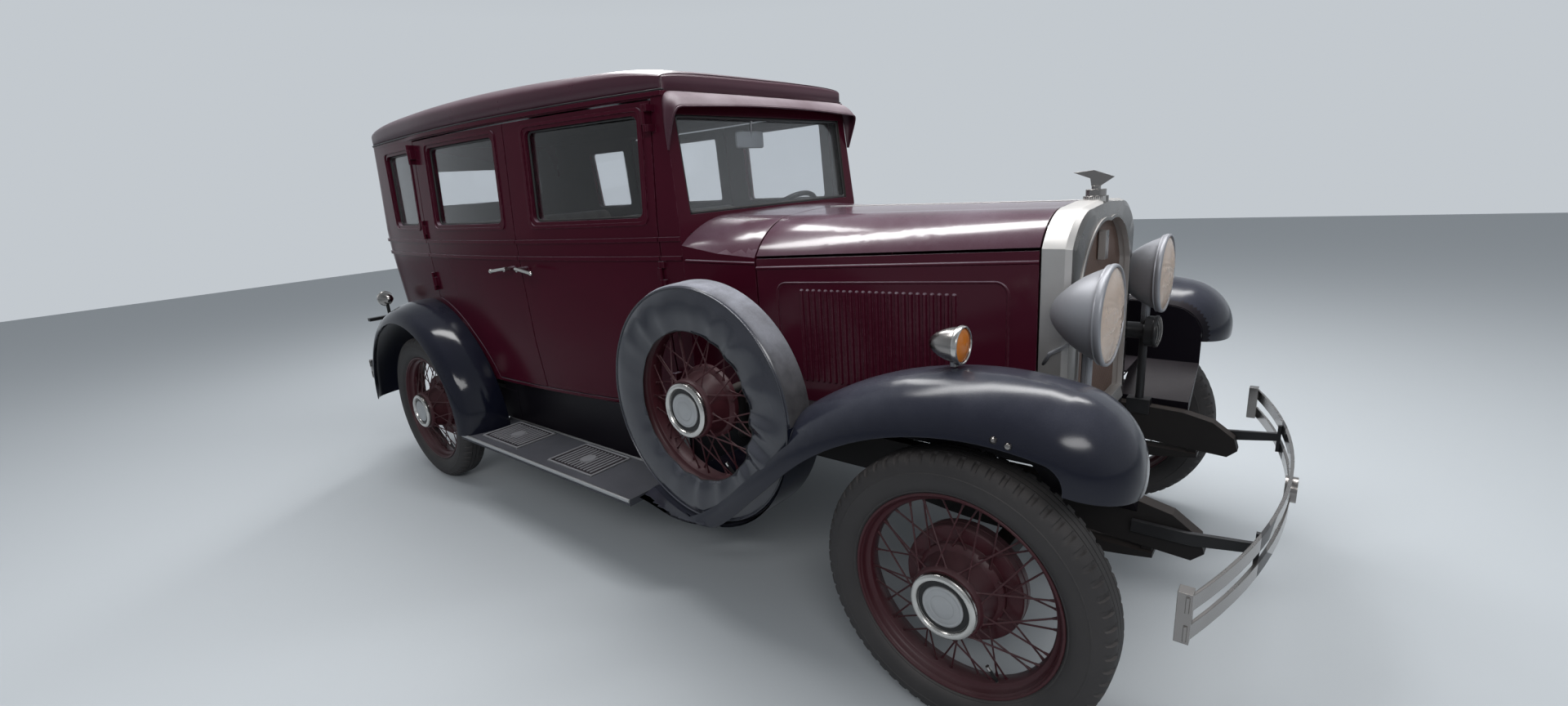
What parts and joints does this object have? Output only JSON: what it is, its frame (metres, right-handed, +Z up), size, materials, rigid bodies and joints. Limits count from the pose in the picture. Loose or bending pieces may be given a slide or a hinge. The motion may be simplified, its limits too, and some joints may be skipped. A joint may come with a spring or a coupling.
{
  "type": "vintage sedan",
  "caption": "Vintage closed sedan with separate fenders, side-mounted spare wheels, wire wheels, hinged doors and hood panels, and turning, steered wheels.",
  "frame": {"origin": "on the ground under the middle of the bounding box", "axes": "+X forward, +Y to the car's left, +Z up"},
  "size_m": [4.3018, 1.684, 1.795],
  "materials": {
    "body": "gloss",
    "roof": "satin",
    "fender": "gloss",
    "black": "satin",
    "wheel": "satin",
    "chrome": "gloss",
    "core": "matt",
    "iron": "matt",
    "glass": "gloss",
    "tyre": "matt",
    "cloth": "matt",
    "interior": "matt",
    "vinyl": "satin",
    "plastic": "satin"
  },
  "bodies": {
    "chassis": {"frame": "black", "axles": "black", "leaf_springs": "black", "powertrain": "iron", "radiator_shell": "chrome", "radiator_core": "core", "cowl": "body", "body_shell": "body", "body_glass": "glass", "roof": "roof", "sun_visor": "body", "floor": "interior", "seats": "cloth", "hood_sides": "body", "front_fenders": "fender", "rear_fenders": "fender", "running_boards": "fender", "spare_tyres": "tyre", "spare_wheels": "wheel", "spare_covers": "vinyl", "lamps": "chrome", "lamp_lenses": "glass", "bumpers": "chrome", "steering_column": "black"},
    "steering_wheel": {"steering_wheel": "plastic"},
    "hood_right": {"hood_top_right": "body"},
    "hood_left": {"hood_top_left": "body"},
    "knuckle_right": {"knuckle_right": "black"},
    "knuckle_left": {"knuckle_left": "black"},
    "wheel_front_right": {"wheel_front_right": "wheel", "tyre_front_right": "tyre"},
    "wheel_front_left": {"wheel_front_left": "wheel", "tyre_front_left": "tyre"},
    "wheel_rear_right": {"wheel_rear_right": "wheel", "tyre_rear_right": "tyre"},
    "wheel_rear_left": {"wheel_rear_left": "wheel", "tyre_rear_left": "tyre"},
    "door_front_right": {"front_door_right": "body", "front_glass_right": "glass"},
    "door_rear_right": {"rear_door_right": "body", "rear_glass_right": "glass"},
    "door_front_left": {"front_door_left": "body", "front_glass_left": "glass"},
    "door_rear_left": {"rear_door_left": "body", "rear_glass_left": "glass"}
  },
  "joints": [
    {"name": "hood_right_hinge", "type": "hinge", "parent": "chassis", "child": "hood_right", "pos_m": [1.151, 0, 1.228], "axis": [-1, 0, 0.0092], "range_deg": [0, 60]},
    {"name": "hood_left_hinge", "type": "hinge", "parent": "chassis", "child": "hood_left", "pos_m": [1.151, 0, 1.228], "axis": [1, 0, -0.0092], "range_deg": [0, 60]},
    {"name": "steer_right", "type": "hinge", "parent": "chassis", "child": "knuckle_right", "pos_m": [1.539, -0.601, 0.358], "axis": [0, 0, 1], "range_deg": [-28, 28]},
    {"name": "steer_left", "type": "hinge", "parent": "chassis", "child": "knuckle_left", "pos_m": [1.539, 0.601, 0.358], "axis": [0, 0, 1], "range_deg": [-28, 28]},
    {"name": "steering_wheel_turn", "type": "hinge", "parent": "chassis", "child": "steering_wheel", "pos_m": [0.249, 0.3, 1.118], "axis": [-0.7049, 0, 0.7093], "range_deg": [-420, 420]},
    {"name": "spin_front_right", "type": "hinge", "parent": "knuckle_right", "child": "wheel_front_right", "pos_m": [1.539, -0.711, 0.358], "axis": [0, 1, 0], "continuous": true},
    {"name": "spin_front_left", "type": "hinge", "parent": "knuckle_left", "child": "wheel_front_left", "pos_m": [1.539, 0.711, 0.358], "axis": [0, 1, 0], "continuous": true},
    {"name": "spin_rear_right", "type": "hinge", "parent": "chassis", "child": "wheel_rear_right", "pos_m": [-1.23, -0.718, 0.358], "axis": [0, 1, 0], "continuous": true},
    {"name": "spin_rear_left", "type": "hinge", "parent": "chassis", "child": "wheel_rear_left", "pos_m": [-1.23, 0.718, 0.358], "axis": [0, 1, 0], "continuous": true},
    {"name": "door_front_right_hinge", "type": "hinge", "parent": "chassis", "child": "door_front_right", "pos_m": [0.389, -0.555, 1.1], "axis": [0, 0, 1], "range_deg": [0, 52]},
    {"name": "door_rear_right_hinge", "type": "hinge", "parent": "chassis", "child": "door_rear_right", "pos_m": [-1.121, -0.668, 1.1], "axis": [0, 0, -1], "range_deg": [0, 70]},
    {"name": "door_front_left_hinge", "type": "hinge", "parent": "chassis", "child": "door_front_left", "pos_m": [0.389, 0.555, 1.1], "axis": [0, 0, -1], "range_deg": [0, 52]},
    {"name": "door_rear_left_hinge", "type": "hinge", "parent": "chassis", "child": "door_rear_left", "pos_m": [-1.121, 0.668, 1.1], "axis": [0, 0, 1], "range_deg": [0, 70]}
  ],
  "couplings": [
    {"joint": "steer_left", "follows": "steer_right", "ratio": 1},
    {"joint": "steering_wheel_turn", "follows": "steer_right", "ratio": 15}
  ]
}
